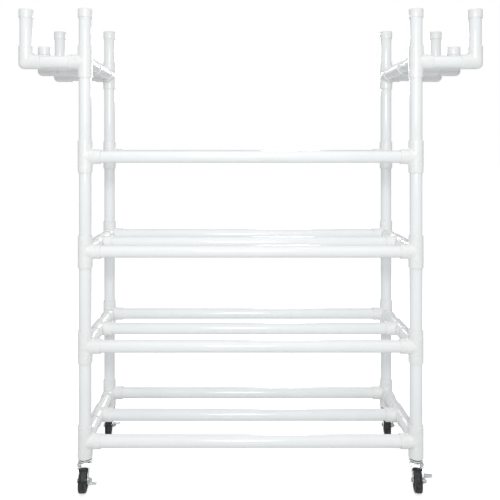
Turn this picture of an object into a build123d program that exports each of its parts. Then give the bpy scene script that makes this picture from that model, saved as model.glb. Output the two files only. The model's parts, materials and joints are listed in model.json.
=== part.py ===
from build123d import *

import math
import os

# A rolling saddle rack of plastic pipe and slip fittings on four swivel casters. Sizes are in millimetres.
# The origin is on the floor, midway between the four uprights. +Z is up, +X is right and -Y is the front.

# Pipe and slip fittings
PIPE_OD = 42.16  # outside of nominal 1 1/4 inch pipe
PIPE_WALL = 3.56
HUB_WALL = 3.67  # of a fitting, round its socket
SOCKET_DEPTH = 31.8  # how far a pipe goes into a fitting
STOP_SHOULDER = 1.92  # in a tee or four-way, between the side of one bore and the end of the next pipe
ELBOW_SHOULDER = 0.52  # the same in an elbow
SOCKET_GAP = 0.05  # radial room for cement
HUB_CHAMFER = 1.2
BRANCH_STEP = 0.2  # a branch's radius is this much under its run's
CAP_WALL = 3.17  # of a cap, round its socket
CAP_LENGTH = 29.0
CAP_END = 4.5  # thickness of a cap's flat end

# Frame
UPRIGHT_SPACING = 1131.0  # left to right, between axes
UPRIGHT_DEPTH = 381.0  # front to rear, between axes
LEVEL_PITCH = 324.0
POST_PIPE = 152.4  # length of the pipe above each upright and in each tall arm post
ARM_REACH = 202.0  # from an upright's axis to an arm post's axis
SHORT_POST_GAP = 0.5  # between a short arm post's cap and its elbow

# Casters
CASTER_OFFSET = 32.0  # from the swivel axis back to the axle
WHEEL_DIAMETER = 76.2
WHEEL_WIDTH = 24.0
WHEEL_HEADROOM = 5.5  # between a wheel and the rivet above it
TREAD_EDGE = 2.5  # rounding between tread and side
TREAD_GROOVE = 0.8  # depth and half width of the two tread grooves
GROOVE_SPACING = 13.0
RIM_THICKNESS = 9.0  # from the tread down to the recess in the wheel's side
RECESS_DEPTH = 5.0
WHEEL_HUB_DIAMETER = 23.0
HUB_SIDE_GAP = 0.4  # between a wheel's hub and a fork leg
AXLE_DIAMETER = 7.94
RUNNING_GAP = 0.05  # radial, between a shaft and what turns on it
HEX_WIDTH = 12.7  # across the flats of bolt head and nut
HEX_THICKNESS = 5.0
BOLT_END = 2.0  # how far the bolt shows past its nut
WASHER_DIAMETER = 17.0
WASHER_THICKNESS = 4.0
FORK_THICKNESS = 2.5
FORK_GAP = 1.0  # between the wheel's side and a fork leg
CROWN_WIDTH = 45.0
CROWN_DEPTH = 40.0
CROWN_SKIRT = 7.5  # height of the crown's straight sides
LEG_SLOPE = 18.0  # height over which a leg turns in from the crown to the wheel
LEG_BOSS_RADIUS = 11.0
STEM_DIAMETER = 11.0
STEM_IN_PLUG = 28.0
RIVET_DIAMETER = 17.0
RIVET_THICKNESS = 3.0
RIVET_GAP = 0.3
PLUG_GAP = 0.1
FLANGE_RIM = 0.92  # how far the flange stands out past a pipe's side
FLANGE_THICKNESS = 4.0
COVER_DIAMETER = 43.0
COVER_SHEET = 1.5
COVER_HEIGHT = 6.5
RACE_THICKNESS = 1.9
RACE_INNER_DIAMETER = 20.0
RACE_OUTER_DIAMETER = 36.0
BALL_DIAMETER = 4.0
BALL_CIRCLE_DIAMETER = 28.0
BALL_COUNT = 12
BALL_GAP = 0.05
PEDAL_THICKNESS = 2.2
PEDAL_SIDE_GAP = 0.25
PEDAL_EYE_DIAMETER = 18.0
PEDAL_ARM_WIDTH = 12.0
PEDAL_REACH = 27.0  # from the axle to the end of the arm
TAB_LENGTH = 25.0
TAB_ROOT_WIDTH = 15.0
TAB_TIP_WIDTH = 10.0
TAB_LIP = 5.0  # height of the upturned edges

# How each caster stands: its turn about the stem, and how far its pedal is raised from level
CORNERS = {"front_left": (-1, -1), "front_right": (1, -1), "rear_left": (-1, 1), "rear_right": (1, 1)}
SIDES = {"left": -1, "right": 1}
ROWS = {"front": -1, "middle": 0, "rear": 1}
SWIVEL_TURN = {"front_left": 4.0, "front_right": -9.0, "rear_left": 7.0, "rear_right": -8.0}
PEDAL_RAISE = {"front_left": 0.0, "front_right": 75.0, "rear_left": 35.0, "rear_right": 75.0}

# Places that follow from the sizes above
PIPE_RADIUS = PIPE_OD / 2
BORE_RADIUS = PIPE_RADIUS - PIPE_WALL
HUB_RADIUS = PIPE_RADIUS + SOCKET_GAP + HUB_WALL
CAP_RADIUS = PIPE_RADIUS + SOCKET_GAP + CAP_WALL
CENTRE_TO_STOP = PIPE_RADIUS + STOP_SHOULDER  # from a tee's or four-way's centre to the end of a pipe
ELBOW_TO_STOP = PIPE_RADIUS + ELBOW_SHOULDER
WHEEL_RADIUS = WHEEL_DIAMETER / 2
AXLE_RADIUS = AXLE_DIAMETER / 2
STEM_RADIUS = STEM_DIAMETER / 2
RIVET_TOP = WHEEL_DIAMETER + WHEEL_HEADROOM + RIVET_THICKNESS
CROWN_TOP = RIVET_TOP + RIVET_GAP + FORK_THICKNESS
BALL_HEIGHT = CROWN_TOP + BALL_GAP + BALL_DIAMETER / 2
COVER_TOP = BALL_HEIGHT + BALL_DIAMETER / 2 + BALL_GAP + RACE_THICKNESS + COVER_SHEET
CASTER_DROP = COVER_TOP + FLANGE_THICKNESS  # from the floor to the lowest fitting's mouth
LEVELS = [CASTER_DROP + SOCKET_DEPTH + CENTRE_TO_STOP + LEVEL_PITCH * n for n in range(5)]
SHELVES = LEVELS[:3]
RAIL_LEVEL = LEVELS[3]
ARM_LEVEL = LEVELS[4]
SHORT_POST_PIPE = SOCKET_DEPTH + SHORT_POST_GAP + CAP_LENGTH - CAP_END
LEG_INNER = WHEEL_WIDTH / 2 + FORK_GAP
LEG_OUTER = LEG_INNER + FORK_THICKNESS
PEDAL_INNER = LEG_OUTER + WASHER_THICKNESS + PEDAL_SIDE_GAP
NUT_INNER = PEDAL_INNER + PEDAL_THICKNESS + PEDAL_SIDE_GAP

LEFT, RIGHT = Vector(-1, 0, 0), Vector(1, 0, 0)
REAR, UP = Vector(0, 1, 0), Vector(0, 0, 1)


def bar(start, direction, length, radius):
    """A round bar from a point along a unit direction."""
    return extrude(Plane(origin=start, z_dir=direction) * Circle(radius), amount=length)


def chamfered_bar(start, direction, length, radius, chamfer_size):
    """A round bar whose far end is chamfered."""
    shank = bar(start, direction, length - chamfer_size, radius)
    tip = Cone(radius, radius - chamfer_size, chamfer_size, align=(Align.CENTER, Align.CENTER, Align.MIN))
    return shank + Plane(origin=start + direction * (length - chamfer_size), z_dir=direction) * tip


def tube(start, direction, length, outer_radius, inner_radius):
    """A round tube from a point along a unit direction."""
    return bar(start, direction, length, outer_radius) - bar(start, direction, length, inner_radius)


def pipe_between(centre_a, centre_b):
    """The pipe that joins two tees or four-ways, from one's stop to the other's."""
    direction = (centre_b - centre_a).normalized()
    length = (centre_b - centre_a).length - 2 * CENTRE_TO_STOP
    return tube(centre_a + direction * CENTRE_TO_STOP, direction, length, PIPE_RADIUS, BORE_RADIUS)


def fitting(centre, run, branches):
    """A slip fitting: a run and branches square to it, bored through, with a socket at each mouth."""
    reach = CENTRE_TO_STOP + SOCKET_DEPTH
    body = bar(centre - run * reach, run, 2 * reach, HUB_RADIUS)
    body = chamfer(body.edges().filter_by(GeomType.CIRCLE), HUB_CHAMFER)
    for branch in branches:
        body += chamfered_bar(centre, branch, reach, HUB_RADIUS - BRANCH_STEP, HUB_CHAMFER)
    body -= bar(centre - run * CENTRE_TO_STOP, run, 2 * CENTRE_TO_STOP, BORE_RADIUS)
    for branch in branches:
        body -= bar(centre, branch, CENTRE_TO_STOP, BORE_RADIUS - BRANCH_STEP)
    for arm in [run, run * -1, *branches]:
        body -= bar(centre + arm * CENTRE_TO_STOP, arm, SOCKET_DEPTH, PIPE_RADIUS + SOCKET_GAP)
    return body


def mitred_leg(centre, direction, other, solid):
    """The half of a solid that belongs to one leg of an elbow: it is cut where the two legs meet."""
    mitre = Plane(origin=centre, z_dir=(direction - other).normalized())
    return split(solid, bisect_by=mitre, keep=Keep.TOP)


def elbow(centre, arm_direction):
    """A mitred elbow, turned up from its arm, with a socket at each mouth."""
    legs = []
    for direction, other in ((arm_direction, UP), (UP, arm_direction)):
        start = centre - direction * HUB_RADIUS
        reach = HUB_RADIUS + ELBOW_TO_STOP + SOCKET_DEPTH
        hub = chamfered_bar(start, direction, reach, HUB_RADIUS, HUB_CHAMFER)
        hub -= bar(start, direction, HUB_RADIUS + ELBOW_TO_STOP, BORE_RADIUS)
        hub -= bar(centre + direction * ELBOW_TO_STOP, direction, SOCKET_DEPTH, PIPE_RADIUS + SOCKET_GAP)
        legs.append(mitred_leg(centre, direction, other, hub))
    return legs[0] + legs[1]


def cap(pipe_end):
    """A flat slip-on cap over the upper end of a post."""
    mouth = pipe_end - UP * (CAP_LENGTH - CAP_END)
    socket = bar(mouth, UP, CAP_LENGTH - CAP_END, PIPE_RADIUS + SOCKET_GAP)
    return chamfered_bar(mouth, UP, CAP_LENGTH, CAP_RADIUS, HUB_CHAMFER) - socket


def corner_point(corner, height):
    """A point on the axis of one upright."""
    x_sign, y_sign = CORNERS[corner]
    return Vector(x_sign * UPRIGHT_SPACING / 2, y_sign * UPRIGHT_DEPTH / 2, height)


def side_point(side, row, height):
    """A point in a side frame: on an upright's axis, or midway between the two."""
    return Vector(SIDES[side] * UPRIGHT_SPACING / 2, ROWS[row] * UPRIGHT_DEPTH / 2, height)


def rails():
    """The long rails, level by level from the lowest."""
    nodes = {}
    for number, height in enumerate(LEVELS[:4], start=1):
        for row in ROWS:
            if row == "middle" and height == RAIL_LEVEL:
                continue
            ends = side_point("left", row, height), side_point("right", row, height)
            nodes[f"rail_{number}_{row}"] = [pipe_between(*ends)]
    return nodes


def upright(corner):
    """The pipe lengths of one upright, with the post above the arm level."""
    spans = [pipe_between(corner_point(corner, low), corner_point(corner, high))
             for low, high in zip(LEVELS, LEVELS[1:])]
    post_start = corner_point(corner, ARM_LEVEL + CENTRE_TO_STOP)
    return spans + [tube(post_start, UP, POST_PIPE, PIPE_RADIUS, BORE_RADIUS)]


def side_pipes(corner):
    """The side pipes between one upright and the middle tees."""
    pipes = []
    for height in SHELVES + [ARM_LEVEL]:
        start = corner_point(corner, height)
        pipes.append(pipe_between(start, Vector(start.X, 0, height)))
    return pipes


def corner_fittings(corner):
    """The fittings of one upright: four-ways at the shelves and the arms, and a tee at the upper rails."""
    x_sign, y_sign = CORNERS[corner]
    inward = RIGHT * -x_sign
    to_middle = REAR * -y_sign
    fittings = [fitting(corner_point(corner, height), UP, [inward, to_middle]) for height in SHELVES]
    fittings.append(fitting(corner_point(corner, RAIL_LEVEL), UP, [inward]))
    fittings.append(fitting(corner_point(corner, ARM_LEVEL), UP, [inward * -1, to_middle]))
    return fittings


def middle_tees(side):
    """The tees halfway along the side pipes: inward at the shelves, outward at the arms."""
    inward = RIGHT * -SIDES[side]
    tees = [fitting(side_point(side, "middle", height), REAR, [inward]) for height in SHELVES]
    tees.append(fitting(side_point(side, "middle", ARM_LEVEL), REAR, [inward * -1]))
    return tees


def elbow_point(side, row):
    """The centre of an arm's elbow."""
    return side_point(side, row, ARM_LEVEL) + RIGHT * SIDES[side] * ARM_REACH


def arm_pipes(side):
    """The three arms of one side."""
    outward = RIGHT * SIDES[side]
    length = ARM_REACH - CENTRE_TO_STOP - ELBOW_TO_STOP
    return [tube(side_point(side, row, ARM_LEVEL) + outward * CENTRE_TO_STOP, outward, length,
                 PIPE_RADIUS, BORE_RADIUS) for row in ROWS]


def post_pipe(row):
    """The length of pipe in an arm post: the middle one is short."""
    return SHORT_POST_PIPE if row == "middle" else POST_PIPE


def arm_posts(side):
    """The upturned posts at the ends of one side's arms."""
    return [tube(elbow_point(side, row) + UP * ELBOW_TO_STOP, UP, post_pipe(row), PIPE_RADIUS, BORE_RADIUS)
            for row in ROWS]


def arm_caps():
    """The caps of the six arm posts."""
    return [cap(elbow_point(side, row) + UP * (ELBOW_TO_STOP + post_pipe(row)))
            for side in SIDES for row in ROWS]


def upright_caps():
    """The caps of the four uprights."""
    return [cap(corner_point(corner, ARM_LEVEL + CENTRE_TO_STOP + POST_PIPE)) for corner in CORNERS]


# Each caster is drawn about its own swivel axis, with its wheel trailing to the front, and is then turned
# and moved under its upright.
AXLE = Vector(0, -CASTER_OFFSET, WHEEL_RADIUS)


def caster_place(corner):
    """Where a caster stands and how it is turned."""
    foot = corner_point(corner, 0)
    return Pos(foot.X, foot.Y, 0) * Rot(0, 0, SWIVEL_TURN[corner])


def caster_plug():
    """The plug that fills the lowest socket, with a flange under the fitting's mouth."""
    body = bar(UP * CASTER_DROP, UP, SOCKET_DEPTH, PIPE_RADIUS + SOCKET_GAP - PLUG_GAP)
    flange = bar(UP * COVER_TOP, UP, FLANGE_THICKNESS, PIPE_RADIUS + FLANGE_RIM)
    return body + flange - bar(UP * COVER_TOP, UP, CASTER_DROP, STEM_RADIUS)


def caster_stem():
    """The stem with its riveted head under the crown, and the pressed cover with the upper ball race."""
    rivet = bar(UP * (RIVET_TOP - RIVET_THICKNESS), UP, RIVET_THICKNESS, RIVET_DIAMETER / 2)
    stem = rivet + bar(UP * RIVET_TOP, UP, CASTER_DROP + STEM_IN_PLUG - RIVET_TOP, STEM_RADIUS)
    cover_bottom = UP * (COVER_TOP - COVER_HEIGHT)
    cover = bar(cover_bottom, UP, COVER_HEIGHT, COVER_DIAMETER / 2)
    cover -= bar(cover_bottom, UP, COVER_HEIGHT - COVER_SHEET, COVER_DIAMETER / 2 - COVER_SHEET)
    race_bottom = UP * (COVER_TOP - COVER_SHEET - RACE_THICKNESS)
    cover += tube(race_bottom, UP, RACE_THICKNESS, RACE_OUTER_DIAMETER / 2, RACE_INNER_DIAMETER / 2)
    cover -= bar(cover_bottom, UP, COVER_HEIGHT, STEM_RADIUS)
    return [stem, cover]


def caster_balls():
    """The ring of balls between cover and crown."""
    balls = []
    for number in range(BALL_COUNT):
        angle = 2 * math.pi * number / BALL_COUNT
        radius = BALL_CIRCLE_DIAMETER / 2
        place = Pos(radius * math.cos(angle), radius * math.sin(angle), BALL_HEIGHT)
        balls.append(place * Sphere(BALL_DIAMETER / 2))
    return balls


def fork_sheet():
    """The fork's sheet seen from the front: a flat crown whose sides turn down and in towards the wheel."""
    half, skirt = CROWN_WIDTH / 2, CROWN_TOP - CROWN_SKIRT
    right_side = [(half, CROWN_TOP), (half, skirt), (LEG_OUTER, skirt - LEG_SLOPE), (LEG_OUTER, 0)]
    left_side = [(-x, z) for x, z in reversed(right_side)]
    outline = make_face(Polyline(*right_side, *left_side, close=True))
    hollow = offset(outline, amount=-FORK_THICKNESS, kind=Kind.INTERSECTION)
    return Plane.XZ * (outline - hollow)


def fork_side():
    """The fork seen from the side: it narrows from the crown to a round boss at the axle."""
    boss = Pos(AXLE.Y, AXLE.Z) * Circle(LEG_BOSS_RADIUS)
    crown = Pos(0, CROWN_TOP - CROWN_SKIRT / 2) * Rectangle(CROWN_DEPTH, CROWN_SKIRT)
    return Plane.YZ * make_hull(boss.edges() + crown.edges())


def fork_plan():
    """The fork seen from above: round at the rear and square over the legs."""
    rear = Circle(CROWN_WIDTH / 2)
    legs = Pos(0, AXLE.Y / 2) * Rectangle(CROWN_WIDTH, CASTER_OFFSET + 2 * LEG_BOSS_RADIUS)
    return make_hull(rear.edges() + legs.edges())


def caster_fork():
    """The pressed fork: the space common to its front, side and top shapes, drilled for stem and axle."""
    reach = CROWN_WIDTH + CASTER_OFFSET
    fork = extrude(fork_sheet(), amount=reach, both=True)
    fork &= extrude(fork_side(), amount=reach, both=True)
    fork &= extrude(fork_plan(), amount=CROWN_TOP)
    fork -= bar(Vector(0, 0, 0), UP, CROWN_TOP, STEM_RADIUS + RUNNING_GAP)
    return fork - bar(AXLE + LEFT * CROWN_WIDTH, RIGHT, 2 * CROWN_WIDTH, AXLE_RADIUS)


def hexagon(start, direction):
    """A bolt head or nut."""
    outline = RegularPolygon(HEX_WIDTH / 2, 6, major_radius=False)
    return extrude(Plane(origin=start, z_dir=direction) * outline, amount=HEX_THICKNESS)


def caster_axle():
    """The axle bolt, the washer that holds the pedal off the fork, and the nut."""
    head = hexagon(AXLE + LEFT * (LEG_OUTER + HEX_THICKNESS), RIGHT)
    shank_length = LEG_OUTER + NUT_INNER + HEX_THICKNESS + BOLT_END
    bolt = head + bar(AXLE + LEFT * LEG_OUTER, RIGHT, shank_length, AXLE_RADIUS)
    washer = tube(AXLE + RIGHT * LEG_OUTER, RIGHT, WASHER_THICKNESS, WASHER_DIAMETER / 2, AXLE_RADIUS)
    nut = hexagon(AXLE + RIGHT * NUT_INNER, RIGHT) - bar(AXLE, RIGHT, CROWN_WIDTH, AXLE_RADIUS)
    return [bolt, washer, nut]


def caster_wheel():
    """The wheel: a grooved tread, a recess in each side and a hub that reaches almost to the fork."""
    left_side = AXLE + LEFT * WHEEL_WIDTH / 2
    rim = bar(left_side, RIGHT, WHEEL_WIDTH, WHEEL_RADIUS)
    rim = fillet(rim.edges().filter_by(GeomType.CIRCLE), TREAD_EDGE)
    for offset_sign in (-1, 1):
        middle = AXLE + RIGHT * offset_sign * GROOVE_SPACING / 2
        rim -= tube(middle + LEFT * TREAD_GROOVE, RIGHT, 2 * TREAD_GROOVE, WHEEL_RADIUS + TREAD_GROOVE,
                    WHEEL_RADIUS - TREAD_GROOVE)
        recess_start = AXLE + RIGHT * offset_sign * (WHEEL_WIDTH / 2 - RECESS_DEPTH)
        rim -= bar(recess_start, RIGHT * offset_sign, RECESS_DEPTH, WHEEL_RADIUS - RIM_THICKNESS)
    hub_width = 2 * (LEG_INNER - HUB_SIDE_GAP)
    wheel = rim + bar(AXLE + LEFT * hub_width / 2, RIGHT, hub_width, WHEEL_HUB_DIAMETER / 2)
    return wheel - bar(AXLE + LEFT * CROWN_WIDTH, RIGHT, 2 * CROWN_WIDTH, AXLE_RADIUS + RUNNING_GAP)


def caster_brake(raised):
    """The brake pedal: an eye on the axle bolt, an arm beside the fork and a tab with upturned edges."""
    arm_shape = Pos(AXLE.Y, AXLE.Z) * Circle(PEDAL_EYE_DIAMETER / 2)
    arm_shape += Pos(AXLE.Y - PEDAL_REACH / 2, AXLE.Z) * Rectangle(PEDAL_REACH, PEDAL_ARM_WIDTH)
    arm_shape -= Pos(AXLE.Y, AXLE.Z) * Circle(AXLE_RADIUS + RUNNING_GAP)
    pedal = Pos(PEDAL_INNER, 0, 0) * extrude(Plane.YZ * arm_shape, amount=PEDAL_THICKNESS)
    tab_front = AXLE.Y - PEDAL_REACH
    tab_end = PEDAL_INNER + PEDAL_THICKNESS + TAB_LENGTH
    tab_shape = Polyline((PEDAL_INNER, tab_front), (PEDAL_INNER, tab_front + TAB_ROOT_WIDTH),
                         (tab_end, tab_front + TAB_TIP_WIDTH), (tab_end, tab_front), close=True)
    underside = AXLE.Z - PEDAL_THICKNESS / 2
    pedal += extrude(Plane(origin=(0, 0, underside)) * make_face(tab_shape), amount=PEDAL_THICKNESS)
    corner_align = (Align.MAX, Align.MIN, Align.MIN)
    end_lip = Box(PEDAL_THICKNESS, TAB_TIP_WIDTH, TAB_LIP, align=corner_align)
    side_lip = Box(TAB_LENGTH, PEDAL_THICKNESS, TAB_LIP, align=corner_align)
    pedal += Pos(tab_end, tab_front, underside) * end_lip
    pedal += Pos(tab_end, tab_front, underside) * side_lip
    return pedal.rotate(Axis(AXLE, LEFT), raised)


def caster(corner):
    """The nodes of one caster, in place."""
    place = caster_place(corner)
    pieces = {
        "plug": [caster_plug()],
        "stem": caster_stem(),
        "fork": [caster_fork()],
        "axle": caster_axle(),
        "wheel": [caster_wheel()],
        "brake": [caster_brake(PEDAL_RAISE[corner])],
    }
    placed = {}
    for name, solids in pieces.items():
        placed[f"caster_{name}_{corner}"] = [place * solid for solid in solids]
    return placed


def all_nodes():
    """Every node of the rack: its name and its solids."""
    nodes = rails()
    for corner in CORNERS:
        nodes[f"upright_{corner}"] = upright(corner)
        nodes[f"side_pipes_{corner}"] = side_pipes(corner)
        nodes[f"fittings_{corner}"] = corner_fittings(corner)
        nodes.update(caster(corner))
    for side in SIDES:
        nodes[f"middle_tees_{side}"] = middle_tees(side)
        nodes[f"arm_pipes_{side}"] = arm_pipes(side)
        nodes[f"arm_elbows_{side}"] = [
            elbow(elbow_point(side, row), RIGHT * -SIDES[side]) for row in ROWS]
        nodes[f"arm_posts_{side}"] = arm_posts(side)
    nodes["upright_caps"] = upright_caps()
    nodes["arm_caps"] = arm_caps()
    nodes["caster_balls"] = [caster_place(corner) * ball for corner in CORNERS for ball in caster_balls()]
    return nodes


def solids_of(shapes):
    """All solids in a list of shapes."""
    return [solid for shape in shapes for solid in shape.solids()]


os.makedirs("parts", exist_ok=True)
for node_name, shapes in all_nodes().items():
    export_step(Compound(solids_of(shapes)), f"parts/{node_name}.step")
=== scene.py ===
import json
import logging
import math
from collections.abc import Sequence
from dataclasses import dataclass
from enum import Enum

import bmesh
import bpy
import numpy as np
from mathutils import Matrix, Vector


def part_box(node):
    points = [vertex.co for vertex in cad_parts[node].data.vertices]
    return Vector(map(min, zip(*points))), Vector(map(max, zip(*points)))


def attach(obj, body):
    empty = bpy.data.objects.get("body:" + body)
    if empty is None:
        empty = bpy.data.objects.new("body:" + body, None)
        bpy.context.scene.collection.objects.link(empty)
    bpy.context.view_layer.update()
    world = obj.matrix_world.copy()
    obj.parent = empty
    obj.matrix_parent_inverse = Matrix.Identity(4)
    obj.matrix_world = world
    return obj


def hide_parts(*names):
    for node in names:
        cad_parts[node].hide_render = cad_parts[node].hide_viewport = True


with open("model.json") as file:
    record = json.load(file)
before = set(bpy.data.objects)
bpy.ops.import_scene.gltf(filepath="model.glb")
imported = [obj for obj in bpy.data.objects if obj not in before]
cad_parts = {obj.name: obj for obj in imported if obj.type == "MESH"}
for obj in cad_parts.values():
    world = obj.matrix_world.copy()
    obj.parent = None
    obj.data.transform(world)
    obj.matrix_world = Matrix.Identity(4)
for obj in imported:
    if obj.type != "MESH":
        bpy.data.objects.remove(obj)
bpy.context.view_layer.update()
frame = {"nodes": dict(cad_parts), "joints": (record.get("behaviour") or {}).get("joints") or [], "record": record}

log = logging.getLogger("saddle_rack")

MERGE_DISTANCE = 1e-6
SQUARE_COSINE = 0.5
FLAT_ANGLE = math.radians(0.5)
SHARP_ANGLE = math.radians(40.0)
SHADING_ANGLE = math.radians(35.0)
X, Y, Z = np.eye(3)


class Grain(Enum):
    """The direction that a pipe's extrusion lines run in."""

    LEFT_RIGHT = 0
    FRONT_REAR = 1
    UPRIGHT = 2


class Side(Enum):
    """The two side frames, by the sign of X."""

    LEFT = -1
    RIGHT = 1


class Row(Enum):
    """The three rows from front to rear, by the sign of Y."""

    FRONT = -1
    MIDDLE = 0
    REAR = 1


@dataclass(frozen=True)
class Corner:
    """One of the four corners of the rack."""

    side: Side
    row: Row

    @property
    def name(self) -> str:
        """The corner's name as the frame's nodes spell it."""
        return f"{self.row.name.lower()}_{self.side.name.lower()}"


CORNERS = [Corner(side, row) for row in (Row.FRONT, Row.REAR) for side in Side]


@dataclass(frozen=True)
class Shell:
    """One closed skin: its points and its four-cornered faces."""

    points: np.ndarray
    quads: np.ndarray


def grid_quads(rows: int, columns: int, closed_rows: bool = False) -> np.ndarray:
    """Joins a grid of points into quads; the columns always close on themselves.

    Args:
        rows: number of rows of points.
        columns: number of points in a row.
        closed_rows: whether the last row joins the first.

    Returns:
        An array of four point numbers for each face.
    """
    row = np.arange(rows if closed_rows else rows - 1)[:, None]
    column = np.arange(columns)[None, :]
    after = (column + 1) % columns
    below = (row + 1) % rows
    upper, lower = row * columns, below * columns
    corners = [upper + column, upper + after, lower + after, lower + column]
    return np.stack(corners, axis=-1).reshape(-1, 4)


def across(direction: np.ndarray) -> tuple[np.ndarray, np.ndarray]:
    """Two unit vectors square to a direction and to each other, along the rack's axes where it is."""
    helper = Y if abs(direction @ Y) < SQUARE_COSINE else Z
    first = np.cross(direction, helper)
    first /= np.linalg.norm(first)
    return first, np.cross(direction, first)


def spokes(direction: np.ndarray, count: int) -> np.ndarray:
    """Unit vectors evenly round a direction: cos(a) times one across vector plus sin(a) times the other."""
    first, second = across(direction)
    angle = np.linspace(0.0, 2.0 * math.pi, count, endpoint=False)
    return np.cos(angle)[:, None] * first + np.sin(angle)[:, None] * second


def lathe(start: np.ndarray, direction: np.ndarray, profile: np.ndarray, count: int = 64) -> Shell:
    """Turns a closed outline about an axis: point = start + along * axis + radius * spoke.

    Args:
        start: a point on the axis.
        direction: unit vector along the axis.
        profile: rows of (distance along the axis, radius), going once round the outline.
        count: number of points round the axis.

    Returns:
        The closed skin.
    """
    along, radius = profile[:, 0], profile[:, 1]
    ring = spokes(direction, count)
    points = start + along[:, None, None] * direction + radius[:, None, None] * ring[None, :, :]
    return Shell(points.reshape(-1, 3), grid_quads(len(profile), count, closed_rows=True))


def rounded(corner: tuple[float, float], radius: float, from_degrees: float, steps: int = 4) -> np.ndarray:
    """A quarter circle of an outline, turning a right angle clockwise from an angle about a centre."""
    angle = np.radians(np.linspace(from_degrees, from_degrees - 90.0, steps + 1))
    return np.array(corner) + radius * np.stack([np.cos(angle), np.sin(angle)], axis=-1)


@dataclass(frozen=True)
class RackPlan:
    """Places and sizes of the rack, in metres, read from the CAD frame.

    Attributes:
        upright_x: distance of the uprights' axes from the middle, left to right.
        upright_y: the same from front to rear.
        levels: heights of the four rail levels.
        arm_level: height of the arms and the upper side pipes.
        pipe_radius: outer radius of every pipe.
        hub_radius: outer radius of every fitting.
        reach: length of a fitting's arm from its centre to its mouth.
        stop: distance from a fitting's centre to the end of a pipe in it.
        elbow_x: distance of the elbows' centres from the middle.
        elbow_reach: length of an elbow's arm.
        elbow_stop: distance from an elbow's centre to the end of a pipe in it.
        cap_radius: outer radius of a cap.
        cap_length: height of a cap.
        cap_end: thickness of a cap's flat end.
        upright_top: height of the caps on the uprights.
        arm_top: height of the caps on the tall arm posts.
        short_arm_top: height of the caps on the short arm posts.
    """

    upright_x: float
    upright_y: float
    levels: tuple[float, ...]
    arm_level: float
    pipe_radius: float
    hub_radius: float
    reach: float
    stop: float
    elbow_x: float
    elbow_reach: float
    elbow_stop: float
    cap_radius: float
    cap_length: float
    cap_end: float
    upright_top: float
    arm_top: float
    short_arm_top: float

    @classmethod
    def from_frame(cls) -> "RackPlan":
        """Works the plan out from the boxes of the CAD nodes."""
        rails = [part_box(f"rail_{number}_front") for number in range(1, 5)]
        upright_low, upright_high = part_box("upright_front_right")
        fitting_low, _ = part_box("fittings_front_right")
        arm_low, arm_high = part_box("arm_pipes_right")
        elbow_low, elbow_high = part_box("arm_elbows_right")
        cap_low, cap_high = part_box("upright_caps")
        arm_cap_low, arm_cap_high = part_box("arm_caps")
        levels = tuple((low.z + high.z) / 2 for low, high in rails)
        upright_x = (upright_low.x + upright_high.x) / 2
        upright_y = -(upright_low.y + upright_high.y) / 2
        hub_radius = -fitting_low.y - upright_y
        elbow_x = elbow_high.x - hub_radius
        return cls(
            upright_x=upright_x,
            upright_y=upright_y,
            levels=levels,
            arm_level=(arm_low.z + arm_high.z) / 2,
            pipe_radius=(upright_high.x - upright_low.x) / 2,
            hub_radius=hub_radius,
            reach=levels[0] - fitting_low.z,
            stop=upright_x - rails[0][1].x,
            elbow_x=elbow_x,
            elbow_reach=elbow_x - elbow_low.x,
            elbow_stop=elbow_x - arm_high.x,
            cap_radius=cap_high.x - upright_x,
            cap_length=cap_high.z - cap_low.z,
            cap_end=cap_high.z - upright_high.z,
            upright_top=cap_high.z,
            arm_top=arm_cap_high.z,
            short_arm_top=arm_cap_low.z + cap_high.z - cap_low.z,
        )

    @property
    def shelves(self) -> tuple[float, ...]:
        """Heights of the three levels that have side pipes and a middle rail."""
        return self.levels[:3]

    def post(self, side: Side, row: Row, height: float) -> np.ndarray:
        """A point in a side frame, on an upright's axis or midway between the two."""
        return np.array([side.value * self.upright_x, row.value * self.upright_y, height])

    def arm_end(self, side: Side, row: Row) -> np.ndarray:
        """The centre of an arm's elbow."""
        return np.array([side.value * self.elbow_x, row.value * self.upright_y, self.arm_level])

    def arm_post_top(self, row: Row) -> float:
        """The height of an arm post's cap."""
        return self.short_arm_top if row is Row.MIDDLE else self.arm_top


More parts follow.
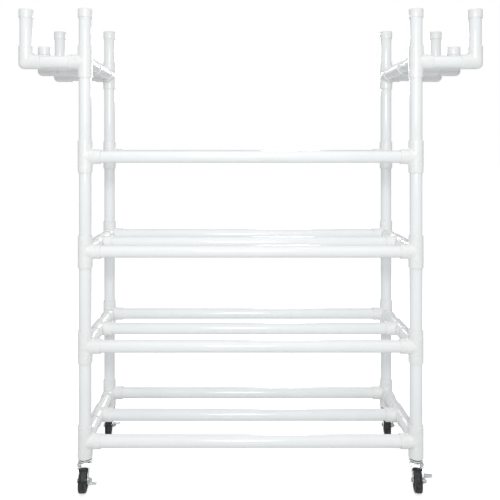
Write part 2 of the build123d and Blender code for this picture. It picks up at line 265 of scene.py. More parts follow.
class NodeTree:
    """A material under construction: its nodes, its links and its shader."""

    def __init__(self, name: str) -> None:
        """Starts an empty material with one Principled shader."""
        self.material = bpy.data.materials.new(name)
        self.material.use_nodes = True
        self.nodes = self.material.node_tree.nodes
        self.links = self.material.node_tree.links
        self.shader = self.nodes["Principled BSDF"]
        self.place = self.nodes.new("ShaderNodeTexCoord").outputs["Object"]

    def stretched(self, scale: Sequence[float]) -> bpy.types.NodeSocket:
        """Object coordinates, scaled by a different amount along each axis."""
        mapping = self.nodes.new("ShaderNodeMapping")
        mapping.inputs["Scale"].default_value = scale
        self.links.new(self.place, mapping.inputs["Vector"])
        return mapping.outputs["Vector"]

    def noise(self, scale: float, detail: float = 3.0, where: bpy.types.NodeSocket | None = None
              ) -> bpy.types.NodeSocket:
        """A cloudy pattern, scale cycles to the metre.

        Args:
            scale: cycles to the metre.
            detail: octaves of finer pattern on top.
            where: coordinates, or None for plain Object coordinates.

        Returns:
            The pattern's value, near 0 to 1.
        """
        texture = self.nodes.new("ShaderNodeTexNoise")
        texture.inputs["Scale"].default_value = scale
        texture.inputs["Detail"].default_value = detail
        self.links.new(where or self.place, texture.inputs["Vector"])
        return texture.outputs["Fac"]

    def spread(self, value: bpy.types.NodeSocket, low: float, high: float, start: float = 0.3,
               end: float = 0.7) -> bpy.types.NodeSocket:
        """Maps a pattern from start..end on to low..high, held at the ends."""
        ramp = self.nodes.new("ShaderNodeMapRange")
        ramp.inputs["From Min"].default_value = start
        ramp.inputs["From Max"].default_value = end
        ramp.inputs["To Min"].default_value = low
        ramp.inputs["To Max"].default_value = high
        self.links.new(value, ramp.inputs["Value"])
        return ramp.outputs["Result"]

    def blend(self, amount: bpy.types.NodeSocket, first: Sequence[float] | bpy.types.NodeSocket,
              second: Sequence[float]) -> bpy.types.NodeSocket:
        """Mixes two colours by a pattern."""
        mix = self.nodes.new("ShaderNodeMix")
        mix.data_type = "RGBA"
        self.links.new(amount, mix.inputs["Factor"])
        if isinstance(first, bpy.types.NodeSocket):
            self.links.new(first, mix.inputs["A"])
        else:
            mix.inputs["A"].default_value = (*first, 1.0)
        mix.inputs["B"].default_value = (*second, 1.0)
        return mix.outputs["Result"]

    def relief(self, height: bpy.types.NodeSocket, depth: float, strength: float = 1.0,
               under: bpy.types.NodeSocket | None = None) -> bpy.types.NodeSocket:
        """Bumps of the given depth in metres, on top of an earlier relief if there is one."""
        bump = self.nodes.new("ShaderNodeBump")
        bump.inputs["Distance"].default_value = depth
        bump.inputs["Strength"].default_value = strength
        self.links.new(height, bump.inputs["Height"])
        if under is not None:
            self.links.new(under, bump.inputs["Normal"])
        return bump.outputs["Normal"]

    def finish(self, colour: bpy.types.NodeSocket, roughness: bpy.types.NodeSocket,
               normal: bpy.types.NodeSocket, metallic: float = 0.0) -> bpy.types.Material:
        """Connects the shader and hands the material over."""
        self.links.new(colour, self.shader.inputs["Base Color"])
        self.links.new(roughness, self.shader.inputs["Roughness"])
        self.links.new(normal, self.shader.inputs["Normal"])
        self.shader.inputs["Metallic"].default_value = metallic
        return self.material


@dataclass(frozen=True)
class PipeFinish:
    """Glossy extruded white plastic with faint die lines along the pipe and light handling scuffs."""

    white: tuple[float, float, float] = (0.90, 0.905, 0.91)
    cool_white: tuple[float, float, float] = (0.84, 0.86, 0.865)
    scuff: tuple[float, float, float] = (0.70, 0.70, 0.69)
    gloss: tuple[float, float] = (0.13, 0.24)
    cloud_scale: float = 7.0
    speck_scale: float = 420.0
    gloss_scale: float = 30.0
    die_line_depth: float = 0.00003
    along_scale: float = 2.0
    across_scale: float = 260.0

    def make(self, grain: Grain) -> bpy.types.Material:
        """Builds the material for pipes that run in one direction.

        Args:
            grain: the direction of the extrusion lines.

        Returns:
            The finished material.
        """
        tree = NodeTree(f"pipe_white_{grain.name.lower()}")
        scale = [self.across_scale] * 3
        scale[grain.value] = self.along_scale
        lines = tree.noise(1.0, 2.0, tree.stretched(scale))
        clouds = tree.noise(self.cloud_scale, 4.0)
        specks = tree.noise(self.speck_scale, 2.0)
        colour = tree.blend(tree.spread(clouds, 0.0, 0.55), self.white, self.cool_white)
        colour = tree.blend(tree.spread(specks, 0.0, 0.35, 0.68, 0.80), colour, self.scuff)
        roughness = tree.spread(tree.noise(self.gloss_scale, 5.0), *self.gloss)
        return tree.finish(colour, roughness, tree.relief(lines, self.die_line_depth, 0.6))


@dataclass(frozen=True)
class FittingFinish:
    """Moulded white plastic: a little creamier and duller than pipe, faintly mottled and pebbled."""

    white: tuple[float, float, float] = (0.895, 0.89, 0.885)
    grey_white: tuple[float, float, float] = (0.80, 0.815, 0.81)
    gloss: tuple[float, float] = (0.22, 0.38)
    mottle_scale: float = 38.0
    gloss_scale: float = 90.0
    flow_scale: float = 45.0
    flow_depth: float = 0.0004
    pebble_scale: float = 900.0
    pebble_depth: float = 0.00005

    def make(self) -> bpy.types.Material:
        """Builds the material."""
        tree = NodeTree("fitting_white")
        mottling = tree.spread(tree.noise(self.mottle_scale, 5.0), 0.0, 0.6)
        colour = tree.blend(mottling, self.white, self.grey_white)
        roughness = tree.spread(tree.noise(self.gloss_scale, 3.0), *self.gloss)
        flow = tree.relief(tree.noise(self.flow_scale, 2.0), self.flow_depth, 0.35)
        pebbles = tree.relief(tree.noise(self.pebble_scale, 2.0), self.pebble_depth, 0.4, flow)
        return tree.finish(colour, roughness, pebbles)


@dataclass(frozen=True)
class PlatedFinish:
    """Bright zinc plate on pressed steel, with a cloudy sheen, fine brushing and dull spots."""

    name: str = "zinc_plate"
    bright: tuple[float, float, float] = (0.88, 0.90, 0.91)
    dull: tuple[float, float, float] = (0.60, 0.62, 0.64)
    gloss: tuple[float, float] = (0.12, 0.34)
    spangle_scale: float = 110.0
    gloss_scale: float = 160.0
    brushing_scale: tuple[float, float, float] = (250.0, 250.0, 2600.0)
    brushing_depth: float = 0.00004

    def make(self) -> bpy.types.Material:
        """Builds the material."""
        tree = NodeTree(self.name)
        spangle = tree.spread(tree.noise(self.spangle_scale, 5.0), 0.0, 1.0, 0.42, 0.72)
        colour = tree.blend(spangle, self.bright, self.dull)
        roughness = tree.spread(tree.noise(self.gloss_scale, 4.0), *self.gloss)
        brushing = tree.noise(1.0, 2.0, tree.stretched(self.brushing_scale))
        return tree.finish(colour, roughness, tree.relief(brushing, self.brushing_depth, 0.5), metallic=1.0)


@dataclass(frozen=True)
class WheelFinish:
    """Hard black rubber, satin, with pale dust on the tread and in the recesses."""

    black: tuple[float, float, float] = (0.012, 0.012, 0.014)
    dust: tuple[float, float, float] = (0.07, 0.07, 0.068)
    gloss: tuple[float, float] = (0.22, 0.48)
    dust_scale: float = 85.0
    gloss_scale: float = 140.0
    pore_scale: float = 1500.0
    pore_depth: float = 0.00012

    def make(self) -> bpy.types.Material:
        """Builds the material."""
        tree = NodeTree("wheel_rubber")
        dusting = tree.spread(tree.noise(self.dust_scale, 6.0), 0.0, 0.8, 0.45, 0.75)
        colour = tree.blend(dusting, self.black, self.dust)
        roughness = tree.spread(tree.noise(self.gloss_scale, 4.0), *self.gloss)
        pores = tree.relief(tree.noise(self.pore_scale, 3.0), self.pore_depth, 0.5)
        return tree.finish(colour, roughness, pores)


@dataclass(frozen=True)
class PlugFinish:
    """Moulded black plastic with a fine even texture."""

    black: tuple[float, float, float] = (0.006, 0.006, 0.007)
    worn: tuple[float, float, float] = (0.025, 0.025, 0.025)
    gloss: tuple[float, float] = (0.42, 0.60)
    wear_scale: float = 200.0
    gloss_scale: float = 120.0
    texture_scale: float = 1800.0
    texture_depth: float = 0.00008

    def make(self) -> bpy.types.Material:
        """Builds the material."""
        tree = NodeTree("plug_black")
        wear = tree.spread(tree.noise(self.wear_scale, 4.0), 0.0, 0.5, 0.5, 0.8)
        colour = tree.blend(wear, self.black, self.worn)
        roughness = tree.spread(tree.noise(self.gloss_scale, 3.0), *self.gloss)
        texture = tree.relief(tree.noise(self.texture_scale, 2.0), self.texture_depth, 0.5)
        return tree.finish(colour, roughness, texture)


@dataclass(frozen=True)
class Finishes:
    """Every material of the rack, made once."""

    pipe: dict[Grain, bpy.types.Material]
    fitting: bpy.types.Material
    plated: bpy.types.Material
    bolt: bpy.types.Material
    rubber: bpy.types.Material
    plug: bpy.types.Material

    @classmethod
    def make(cls) -> "Finishes":
        """Builds all materials."""
        bolt = PlatedFinish(name="bolt_steel", bright=(0.62, 0.62, 0.60), dull=(0.40, 0.40, 0.39),
                            gloss=(0.25, 0.45))
        return cls(
            pipe={grain: PipeFinish().make(grain) for grain in Grain},
            fitting=FittingFinish().make(),
            plated=PlatedFinish().make(),
            bolt=bolt.make(),
            rubber=WheelFinish().make(),
            plug=PlugFinish().make(),
        )


@dataclass
class Workshop:
    """Turns skins into finished pieces that ride on the frame."""

    finishes: Finishes

    def place(self, mesh: bpy.types.Mesh, name: str, node: str, slot: str,
              material: bpy.types.Material) -> bpy.types.Object:
        """Puts a mesh into the scene in place of one CAD node.

        Args:
            mesh: the finished mesh, in the rack's frame.
            name: the piece's name.
            node: the CAD node that it stands for.
            slot: the record's material slot; not used.
            material: its finish.

        Returns:
            The new object.
        """
        mesh.materials.clear()
        mesh.materials.append(material)
        piece = bpy.data.objects.new(name, mesh)
        bpy.context.scene.collection.objects.link(piece)
        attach(piece, self.body_of(node))
        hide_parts(node)
        log.info("%s: %d faces for %s", name, len(mesh.polygons), node)
        return piece

    def body_of(self, node: str) -> str:
        """The body that a CAD node belongs to."""
        bodies = frame["record"]["behaviour"]["bodies"]
        return next(body for body, nodes in bodies.items() if node in nodes)

    def build(self, name: str, node: str, shells: Sequence[Shell], slot: str,
              material: bpy.types.Material) -> bpy.types.Object:
        """Joins closed skins into one smooth-shaded piece.

        Args:
            name: the piece's name.
            node: the CAD node that it stands for.
            shells: its skins.
            slot: the record's material slot; passed on to place, which does not use it.
            material: its finish.

        Returns:
            The new object.
        """
        starts = np.cumsum([0] + [len(shell.points) for shell in shells[:-1]])
        points = np.concatenate([shell.points for shell in shells])
        quads = np.concatenate([shell.quads + start for shell, start in zip(shells, starts)])
        mesh = bpy.data.meshes.new(name)
        mesh.from_pydata(points.tolist(), [], quads.tolist())
        work = bmesh.new()
        work.from_mesh(mesh)
        bmesh.ops.remove_doubles(work, verts=work.verts, dist=MERGE_DISTANCE)
        bmesh.ops.recalc_face_normals(work, faces=work.faces)
        work.to_mesh(mesh)
        work.free()
        mesh.shade_smooth()
        return self.place(mesh, name, node, slot, material)

    def soften(self, node: str, name: str, edge: float, slot: str,
               material: bpy.types.Material) -> bpy.types.Object:
        """Copies a CAD node's shape and rounds its sharp edges.

        Args:
            node: the CAD node.
            name: the piece's name.
            edge: the width of the rounding, in metres.
            slot: the record's material slot; passed on to place, which does not use it.
            material: its finish.

        Returns:
            The new object.
        """
        mesh = frame["nodes"][node].data.copy()
        work = bmesh.new()
        work.from_mesh(mesh)
        bmesh.ops.remove_doubles(work, verts=work.verts, dist=MERGE_DISTANCE)
        bmesh.ops.dissolve_limit(work, angle_limit=FLAT_ANGLE, verts=work.verts, edges=work.edges)
        sharp = [border for border in work.edges
                 if border.is_manifold and border.calc_face_angle() > SHARP_ANGLE]
        bmesh.ops.bevel(work, geom=sharp, offset=edge, segments=2, profile=0.5, affect="EDGES",
                        clamp_overlap=True)
        work.to_mesh(mesh)
        work.free()
        mesh.shade_smooth()
        mesh.set_sharp_from_angle(angle=SHADING_ANGLE)
        return self.place(mesh, name, node, slot, material)


@dataclass(frozen=True)
class PipeCut:
    """One length of pipe between two points on its axis."""

    start: np.ndarray
    end: np.ndarray
    radius: float
    wall: float = 0.00356
    edge: float = 0.0008

    def shell(self) -> Shell:
        """A tube turned from an outline: outer wall, rounded rims and inner wall."""
        run = self.end - self.start
        length = float(np.linalg.norm(run))
        inner = self.radius - self.wall
        profile = np.concatenate([
            rounded((self.edge, self.radius - self.edge), self.edge, 180.0),
            rounded((length - self.edge, self.radius - self.edge), self.edge, 90.0),
            [(length, inner), (0.0, inner)],
        ])
        return lathe(self.start, run / length, profile)


@dataclass(frozen=True)
class CapShape:
    """A flat slip-on cap with rounded rims, drawn solid because the pipe below it fills its socket."""

    top: np.ndarray
    radius: float
    length: float
    edge: float = 0.0022
    mouth_edge: float = 0.0008
    dish: float = 0.0003
    dish_start: float = 0.86
    dish_end: float = 0.8

    def shell(self) -> Shell:
        """A cap turned from an outline: axis, mouth, side, rounded top and slightly dished face."""
        foot = self.top - Z * self.length
        face = self.length - self.dish
        dished = [(self.length, self.radius * self.dish_start), (face, self.radius * self.dish_end),
                  (face, 0.0)]
        profile = np.concatenate([
            [(0.0, 0.0)],
            rounded((self.mouth_edge, self.radius - self.mouth_edge), self.mouth_edge, 180.0),
            rounded((self.length - self.edge, self.radius - self.edge), self.edge, 90.0),
            dished,
        ])
        return lathe(foot, Z, profile)


@dataclass(frozen=True)
class SlipFitting:
    """A moulded slip fitting: hubs that meet in filleted creases, each with a rounded mouth and a socket.

    A tee or four-way has a straight run, whose two ends are the first two arms. An elbow has no run: its
    two arms meet in a mitre.
    """

    centre: np.ndarray
    arms: tuple[np.ndarray, ...]
    hub_radius: float
    pipe_radius: float
    reach: float
    stop: float
    has_run: bool = True
    crease_fillet: float = 0.009
    mitre_fillet: float = 0.022
    lip: float = 0.001
    socket_edge: float = 0.0006
    around: int = 64
    along: int = 16
    crowding: float = 1.7

    def shells(self) -> list[Shell]:
        """One open skin for each arm; together they close, because they share their seams."""
        return [self.arm_shell(arm) for arm in self.arms]

    def seam(self, arm: np.ndarray, ring: np.ndarray) -> np.ndarray:
        """Where an arm starts at each angle: the plane that halves the angle between it and its neighbour.

        Args:
            arm: the arm's direction.
            ring: unit vectors round it.

        Returns:
            Distances from the centre along the arm.
        """
        others = np.array([other for other in self.arms if abs(other @ arm) < SQUARE_COSINE])
        lean = (ring @ others.T).max(axis=1)
        return self.hub_radius * (np.maximum(lean, 0.0) if self.has_run else lean)

    def arm_shell(self, arm: np.ndarray) -> Shell:
        """One hub as a grid: rows from the seam to the mouth, round the lip and down into the socket."""
        ring = spokes(arm, self.around)
        start = self.seam(arm, ring)
        share = np.linspace(0.0, 1.0, self.along) ** self.crowding
        along = start[None, :] + share[:, None] * (self.reach - self.lip - start)[None, :]
        side = along[..., None] * arm + self.hub_radius * ring[None, :, :]
        side = self.settle(side.reshape(-1, 3)).reshape(side.shape)
        bore, edge = self.pipe_radius, self.socket_edge
        mouth = np.concatenate([
            rounded((self.reach - self.lip, self.hub_radius - self.lip), self.lip, 90.0)[1:],
            [(self.reach, bore + edge), (self.reach - edge, bore), (self.stop, bore), (self.stop, 0.0)],
        ])
        inside = mouth[:, 0, None, None] * arm + mouth[:, 1, None, None] * ring[None, :, :]
        points = np.concatenate([side, inside]) + self.centre
        return Shell(points.reshape(-1, 3), grid_quads(len(points), self.around))

    def settle(self, points: np.ndarray, steps: int = 6, nudge: float = 1e-6,
               least: float = 0.1) -> np.ndarray:
        """Moves points on to the filleted skin by Newton's rule: -distance * gradient / gradient squared.

        Args:
            points: points near the skin, about the fitting's centre.
            steps: how often the rule is applied.
            nudge: the step of the numeric gradient.
            least: the smallest squared gradient that is divided by.

        Returns:
            The moved points.
        """
        for _ in range(steps):
            rises = [self.distance(points + nudge * axis) - self.distance(points - nudge * axis)
                     for axis in (X, Y, Z)]
            gradient = np.stack(rises, axis=-1) / (2.0 * nudge)
            square = np.maximum((gradient ** 2).sum(axis=-1), least)
            points = points - (self.distance(points) / square)[:, None] * gradient
        return points

    def distance(self, points: np.ndarray) -> np.ndarray:
        """Distance outside the filleted skin, negative inside."""
        return self.run_distance(points) if self.has_run else self.mitre_distance(points)

    def from_axis(self, points: np.ndarray, axis: np.ndarray, both_ways: bool
                  ) -> tuple[np.ndarray, np.ndarray]:
        """Distance outside a round bar about an axis, and the direction away from that axis.

        Args:
            points: points about the fitting's centre.
            axis: unit vector along the bar.
            both_ways: whether the bar runs both ways, or starts at the centre with a round end.

        Returns:
            The distances and the unit directions.
        """
        along = points @ axis
        held = along if both_ways else np.maximum(along, 0.0)
        away = points - held[:, None] * axis
        size = np.maximum(np.linalg.norm(away, axis=1), 1e-9)
        return size - self.hub_radius, away / size[:, None]

    def run_distance(self, points: np.ndarray) -> np.ndarray:
        """The least distance to run and branches, eased where two are equal and face different ways."""
        distance, away = self.from_axis(points, self.arms[0], True)
        for branch in self.arms[2:]:
            other, other_away = self.from_axis(points, branch, False)
            ease = self.easing(distance, other, away, other_away, self.crease_fillet)
            nearer = (other < distance)[:, None]
            away = np.where(nearer, other_away, away)
            distance = np.minimum(distance, other) - ease
        return distance

    def mitre_distance(self, points: np.ndarray) -> np.ndarray:
        """Least distance to the two bars inside the bend and greatest outside it, both eased.

        The easing fades out towards the bend's flanks, where depth is 0. Depth is negative on the outside of
        the bend and positive inside it.
        """
        first, first_away = self.from_axis(points, self.arms[0], True)
        second, second_away = self.from_axis(points, self.arms[1], True)
        depth = points @ (self.arms[0] + self.arms[1]) / self.hub_radius
        fade = np.clip(np.abs(depth), 0.0, 1.0) ** 2
        inner = self.easing(first, second, first_away, second_away, self.crease_fillet * fade)
        outer = self.easing(first, second, first_away, second_away, self.mitre_fillet * fade)
        return np.where(depth > 0.0, np.minimum(first, second) - inner, np.maximum(first, second) + outer)

    @staticmethod
    def easing(first: np.ndarray, second: np.ndarray, first_away: np.ndarray, second_away: np.ndarray,
               size: float | np.ndarray) -> np.ndarray:
        """How far a crease is filled: (k - |a - b|) ** 2 / (4 k), with k = size * (1 - cos(angle)).

        Args:
            first: distances to one bar.
            second: distances to the other.
            first_away: directions away from one axis.
            second_away: directions away from the other.
            size: the width of the fillet at a right angle.

        Returns:
            The amount for each point.
        """
        width = np.maximum(size * (1.0 - (first_away * second_away).sum(axis=1)), 1e-9)
        gap = np.maximum(width - np.abs(first - second), 0.0)
        return gap ** 2 / (4.0 * width)


@dataclass
class PipeFrame:
    """All pipes, fittings and caps."""

    plan: RackPlan
    shop: Workshop

    def build(self) -> None:
        """Builds every piece of the cemented frame."""
        self.rails()
        for corner in CORNERS:
            self.upright(corner)
            self.side_pipes(corner)
            self.corner_fittings(corner)
        for side in Side:
            self.middle_tees(side)
            self.arms(side)
        self.caps()

    def pipe(self, start: np.ndarray, end: np.ndarray) -> Shell:
        """One length of pipe."""
        return PipeCut(start, end, self.plan.pipe_radius).shell()

    def add_pipes(self, node: str, shells: Sequence[Shell], grain: Grain) -> None:
        """Adds the pipes of one node."""
        self.shop.build(f"{node}_tube", node, shells, "white_pipe", self.shop.finishes.pipe[grain])

    def add_fittings(self, node: str, shells: Sequence[Shell]) -> None:
        """Adds the moulded pieces of one node."""
        self.shop.build(f"{node}_moulding", node, shells, "white_fitting", self.shop.finishes.fitting)

    def fitting(self, centre: np.ndarray, run: np.ndarray, branches: Sequence[np.ndarray]) -> list[Shell]:
        """The skins of a tee or four-way."""
        plan = self.plan
        return SlipFitting(centre, (run, -run, *branches), plan.hub_radius, plan.pipe_radius, plan.reach,
                           plan.stop).shells()

    def rails(self) -> None:
        """The long rails, level by level."""
        plan = self.plan
        reach = plan.upright_x - plan.stop
        for number, height in enumerate(plan.levels, start=1):
            for row in Row:
                node = f"rail_{number}_{row.name.lower()}"
                if node not in frame["nodes"]:
                    continue
                middle = np.array([0.0, row.value * plan.upright_y, height])
                self.add_pipes(node, [self.pipe(middle - reach * X, middle + reach * X)], Grain.LEFT_RIGHT)

    def upright(self, corner: Corner) -> None:
        """The pipe lengths of one upright and the post above them."""
        plan = self.plan
        heights = [*plan.levels, plan.arm_level]
        spans = [(low + plan.stop, high - plan.stop) for low, high in zip(heights, heights[1:])]
        spans.append((plan.arm_level + plan.stop, plan.upright_top - plan.cap_end))
        ends = [[plan.post(corner.side, corner.row, height) for height in span] for span in spans]
        shells = [self.pipe(low, high) for low, high in ends]
        self.add_pipes(f"upright_{corner.name}", shells, Grain.UPRIGHT)

    def side_pipes(self, corner: Corner) -> None:
        """The side pipes between one upright and the middle tees."""
        plan = self.plan
        shells = []
        for height in (*plan.shelves, plan.arm_level):
            start = plan.post(corner.side, corner.row, height) - corner.row.value * plan.stop * Y
            end = plan.post(corner.side, Row.MIDDLE, height) + corner.row.value * plan.stop * Y
            shells.append(self.pipe(start, end))
        self.add_pipes(f"side_pipes_{corner.name}", shells, Grain.FRONT_REAR)

    def corner_fittings(self, corner: Corner) -> None:
        """Four-ways at the shelves and the arms, and a tee at the top rails."""
        plan = self.plan
        inward = -corner.side.value * X
        to_middle = -corner.row.value * Y
        stations = [(height, (inward, to_middle)) for height in plan.shelves]
        stations += [(plan.levels[3], (inward,)), (plan.arm_level, (-inward, to_middle))]
        shells = []
        for height, branches in stations:
            shells += self.fitting(plan.post(corner.side, corner.row, height), Z, branches)
        self.add_fittings(f"fittings_{corner.name}", shells)

    def middle_tees(self, side: Side) -> None:
        """The tees halfway along the side pipes: inward at the shelves, outward at the arms."""
        plan = self.plan
        inward = -side.value * X
        shells = []
        for height in plan.shelves:
            shells += self.fitting(plan.post(side, Row.MIDDLE, height), Y, [inward])
        shells += self.fitting(plan.post(side, Row.MIDDLE, plan.arm_level), Y, [-inward])
        self.add_fittings(f"middle_tees_{side.name.lower()}", shells)

    def arms(self, side: Side) -> None:
        """Arm pipes, elbows and arm posts of one side."""
        plan = self.plan
        outward = side.value * X
        pipes, posts, elbows = [], [], []
        for row in Row:
            end = plan.arm_end(side, row)
            pipes.append(self.pipe(plan.post(side, row, plan.arm_level) + plan.stop * outward,
                                   end - plan.elbow_stop * outward))
            pipe_top = plan.arm_post_top(row) - plan.cap_end - plan.arm_level
            posts.append(self.pipe(end + plan.elbow_stop * Z, end + pipe_top * Z))
            elbows += SlipFitting(end, (-outward, Z), plan.hub_radius, plan.pipe_radius, plan.elbow_reach,
                                  plan.elbow_stop, has_run=False).shells()
        name = side.name.lower()
        self.add_pipes(f"arm_pipes_{name}", pipes, Grain.LEFT_RIGHT)
        self.add_pipes(f"arm_posts_{name}", posts, Grain.UPRIGHT)
        self.add_fittings(f"arm_elbows_{name}", elbows)

    def caps(self) -> None:
        """The caps on uprights and arm posts."""
        plan = self.plan
        uprights = [plan.post(corner.side, corner.row, plan.upright_top) for corner in CORNERS]
        arm_posts = [plan.arm_end(side, row) + (plan.arm_post_top(row) - plan.arm_level) * Z
                     for side in Side for row in Row]
        for node, tops in (("upright_caps", uprights), ("arm_caps", arm_posts)):
            shells = [CapShape(top, plan.cap_radius, plan.cap_length).shell() for top in tops]
            self.add_fittings(node, shells)


@dataclass(frozen=True)
class WheelShape:
    """A hard wheel: crowned and grooved tread, rims, ribbed recessed webs and a long hub."""

    centre: np.ndarray
    axle: np.ndarray
    radius: float
    width: float = 0.024
    hub_width: float = 0.0252
    bore_radius: float = 0.00402
    hub_radius: float = 0.0115
    rim_depth: float = 0.008
    recess: float = 0.005
    groove: float = 0.0008
    groove_place: float = 0.0065
    crown: float = 0.0006
    tread_edge: float = 0.0028
    fine_step: float = 0.0006
    web_edge: float = 0.001
    rim_gap: float = 0.004
    hub_gap: float = 0.003
    hub_rise: float = 0.002
    hub_edge: float = 0.0008
    ribs: int = 6
    rib_height: float = 0.0026
    rib_sharpness: int = 16

    def half_profile(self) -> np.ndarray:
        """Half of the outline, from the tread's middle to the bore: rows of (distance out, radius)."""
        half, hub_half = self.width / 2, self.hub_width / 2
        edge, step, hub = self.tread_edge, self.fine_step, self.hub_radius
        inner, side = self.radius - self.rim_depth, self.radius - self.crown
        web = half - self.recess
        return np.concatenate([
            self.tread(),
            rounded((half - edge, side - edge), edge, 90.0, 6),
            [(half, inner + 2 * step), (half - step, inner)],
            [(web + self.web_edge, inner - step), (web, inner - 3 * step)],
            [(web, radius) for radius in np.linspace(inner - self.rim_gap, hub + self.hub_gap, 8)],
            [(web + self.hub_edge, hub + step), (web + self.hub_rise, hub)],
            [(hub_half - self.hub_edge, hub), (hub_half, hub - self.hub_edge)],
            [(hub_half, self.bore_radius)],
        ])

    def tread(self) -> list[tuple[float, float]]:
        """Half of the tread's outline, from its middle past one groove."""
        place, groove, slope = self.groove_place, self.groove, self.crown / 3
        shoulder = self.radius - self.crown / 2
        return [(0.0, self.radius), (place - groove, self.radius - slope),
                (place - groove / 2, self.radius - groove - slope),
                (place + groove / 2, shoulder - groove), (place + groove, shoulder)]

    def shell(self, count: int = 96) -> Shell:
        """The turned outline, with the webs raised in ribs: out += height * cos(n a / 2) ** sharpness."""
        half = self.half_profile()
        other = half[::-1] * (-1.0, 1.0)
        profile = np.concatenate([half, other[:-1]])
        skin = lathe(self.centre, self.axle, profile, count)
        points = skin.points.reshape(len(profile), count, 3)
        angle = np.linspace(0.0, 2.0 * math.pi, count, endpoint=False)
        rib = np.cos(self.ribs * angle / 2.0) ** self.rib_sharpness
        web = np.isclose(np.abs(profile[:, 0]), self.width / 2 - self.recess)
        lift = np.sign(profile[:, 0]) * web * self.rib_height
        points = points + (lift[:, None] * rib[None, :])[..., None] * self.axle
        return Shell(points.reshape(-1, 3), skin.quads)


@dataclass
class Caster:
    """One swivel caster with its plug, stem, fork, axle, wheel and brake pedal."""

    corner: Corner
    shop: Workshop
    sheet_edge: float = 0.0006
    fine_edge: float = 0.0003

    def joint(self, name: str) -> dict:
        """A joint of the record by name."""
        return next(joint for joint in frame["joints"] if joint["name"] == f"{name}_{self.corner.name}")

    def build(self) -> None:
        """Builds the caster's pieces."""
        finishes = self.shop.finishes
        self.soften("plug", self.sheet_edge, "black_plastic", finishes.plug)
        self.soften("stem", self.fine_edge, "plated_steel", finishes.plated)
        self.soften("fork", self.sheet_edge, "plated_steel", finishes.plated)
        self.soften("axle", self.fine_edge, "bolt_steel", finishes.bolt)
        self.soften("brake", self.fine_edge, "plated_steel", finishes.plated)
        self.wheel()

    def soften(self, part: str, edge: float, slot: str, material: bpy.types.Material) -> None:
        """Rounds the edges of one of the caster's pressed or turned parts."""
        node = f"caster_{part}_{self.corner.name}"
        self.shop.soften(node, f"{node}_finished", edge, slot, material)

    def wheel(self) -> None:
        """The wheel, on its spin joint's axis."""
        node = f"caster_wheel_{self.corner.name}"
        spin = self.joint("wheel_spin")
        low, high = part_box(node)
        shape = WheelShape(np.array(spin["pos_m"]), np.array(spin["axis"]), (high.z - low.z) / 2)
        rubber = self.shop.finishes.rubber
        self.shop.build(f"{node}_finished", node, [shape.shell()], "wheel_rubber", rubber)


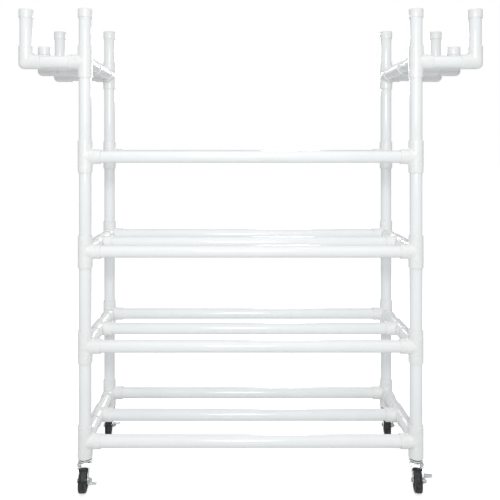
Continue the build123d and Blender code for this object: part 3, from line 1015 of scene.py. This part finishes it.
@dataclass
class Studio:
    """Pale floor, soft light and the camera."""

    camera_place: tuple[float, float, float] = (-0.058, -2.1245, 1.159)
    lens: float = 40.73
    shift: tuple[float, float] = (0.0328, -0.206)
    view_depth: float = 200.0
    floor_size: float = 60.0
    floor_grey: float = 0.72
    floor_lift: float = 0.6
    floor_cloud_scale: float = 0.7
    floor_contrast: float = 0.02
    floor_gloss: tuple[float, float] = (0.6, 0.7)
    floor_relief: float = 0.0001
    backdrop_strength: float = 1.0
    glow_colour: tuple[float, float, float] = (0.95, 0.99, 1.0)
    glow_strength: float = 0.48
    key_place: tuple[float, float, float] = (-0.05, -2.5, 1.62)
    key_power: float = 28.0
    softbox_size: tuple[float, float] = (0.5, 0.6)
    rear_place: tuple[float, float, float] = (0.5, 3.2, 2.0)
    rear_power: float = 42.0
    overhead_strength: float = 0.75
    overhead_tilt: float = 15.0
    overhead_spread: float = 70.0

    def build(self) -> None:
        """Sets up the whole studio."""
        self.floor()
        self.world()
        self.lights()
        self.camera()

    def floor(self) -> None:
        """A wide floor with a faint cloudy sheen, lifted to near white where the camera sees it."""
        mesh = bpy.data.meshes.new("studio_floor")
        half = self.floor_size / 2
        mesh.from_pydata([(-half, -half, 0), (half, -half, 0), (half, half, 0), (-half, half, 0)], [],
                         [(0, 1, 2, 3)])
        tree = NodeTree("studio_floor")
        clouds = tree.noise(self.floor_cloud_scale, 3.0)
        colour = tree.blend(clouds, (self.floor_grey,) * 3, (self.floor_grey - self.floor_contrast,) * 3)
        lift = tree.nodes.new("ShaderNodeMath")
        lift.operation = "MULTIPLY"
        lift.inputs[1].default_value = self.floor_lift
        tree.links.new(tree.nodes.new("ShaderNodeLightPath").outputs["Is Camera Ray"], lift.inputs[0])
        tree.links.new(lift.outputs["Value"], tree.shader.inputs["Emission Strength"])
        tree.shader.inputs["Emission Color"].default_value = (1.0, 1.0, 1.0, 1.0)
        roughness = tree.spread(clouds, *self.floor_gloss)
        mesh.materials.append(tree.finish(colour, roughness, tree.relief(clouds, self.floor_relief)))
        floor = bpy.data.objects.new("studio_floor", mesh)
        bpy.context.scene.collection.objects.link(floor)

    def world(self) -> None:
        """A white backdrop for the camera, and a greyer, cooler glow for everything it lights."""
        world = bpy.data.worlds.new("studio_world")
        world.use_nodes = True
        nodes, links = world.node_tree.nodes, world.node_tree.links
        glow = nodes["Background"]
        glow.inputs["Color"].default_value = (*self.glow_colour, 1.0)
        glow.inputs["Strength"].default_value = self.glow_strength
        backdrop = nodes.new("ShaderNodeBackground")
        backdrop.inputs["Color"].default_value = (1.0, 1.0, 1.0, 1.0)
        backdrop.inputs["Strength"].default_value = self.backdrop_strength
        choice = nodes.new("ShaderNodeMixShader")
        links.new(nodes.new("ShaderNodeLightPath").outputs["Is Camera Ray"], choice.inputs["Fac"])
        links.new(glow.outputs["Background"], choice.inputs[1])
        links.new(backdrop.outputs["Background"], choice.inputs[2])
        links.new(choice.outputs["Shader"], nodes["World Output"].inputs["Surface"])
        bpy.context.scene.world = world
        bpy.context.scene.view_settings.view_transform = "Standard"

    def lights(self) -> None:
        """A softbox just above the camera, another behind the rack, and a wide, weak overhead light."""
        self.softbox("key_light", self.key_place, self.key_power, math.pi / 2)
        self.softbox("rear_light", self.rear_place, self.rear_power, -math.pi / 2)
        sun = bpy.data.lights.new("overhead_light", "SUN")
        sun.energy = self.overhead_strength
        sun.angle = math.radians(self.overhead_spread)
        lamp = bpy.data.objects.new("overhead_light", sun)
        lamp.rotation_euler = (math.radians(self.overhead_tilt), 0.0, 0.0)
        bpy.context.scene.collection.objects.link(lamp)

    def softbox(self, name: str, place: tuple[float, float, float], power: float, tilt: float) -> None:
        """One oblong light that faces the rack squarely.

        Args:
            name: the light's name.
            place: where it hangs, in metres.
            power: in watts.
            tilt: its turn about X, which faces it to the rear or the front.
        """
        light = bpy.data.lights.new(name, "AREA")
        light.energy = power
        light.shape = "RECTANGLE"
        light.size, light.size_y = self.softbox_size
        lamp = bpy.data.objects.new(name, light)
        lamp.location = place
        lamp.rotation_euler = (tilt, 0.0, 0.0)
        bpy.context.scene.collection.objects.link(lamp)

    def camera(self) -> None:
        """A level camera square to the rack's front, with the frame shifted down on to the rack."""
        camera = bpy.data.cameras.new("camera")
        camera.lens = self.lens
        camera.shift_x, camera.shift_y = self.shift
        camera.clip_end = self.view_depth
        holder = bpy.data.objects.new("camera", camera)
        holder.location = self.camera_place
        holder.rotation_euler = (math.pi / 2, 0.0, 0.0)
        bpy.context.scene.collection.objects.link(holder)
        bpy.context.scene.camera = holder


def main() -> None:
    """Builds the rack and its studio."""
    logging.basicConfig(level=logging.INFO, format="%(message)s")
    Studio().build()
    plan = RackPlan.from_frame()
    shop = Workshop(Finishes.make())
    PipeFrame(plan, shop).build()
    for corner in CORNERS:
        Caster(corner, shop).build()
    balls = frame["nodes"]["caster_balls"]
    balls.data.materials.clear()
    balls.data.materials.append(shop.finishes.bolt)


if __name__ == "__main__":
    main()
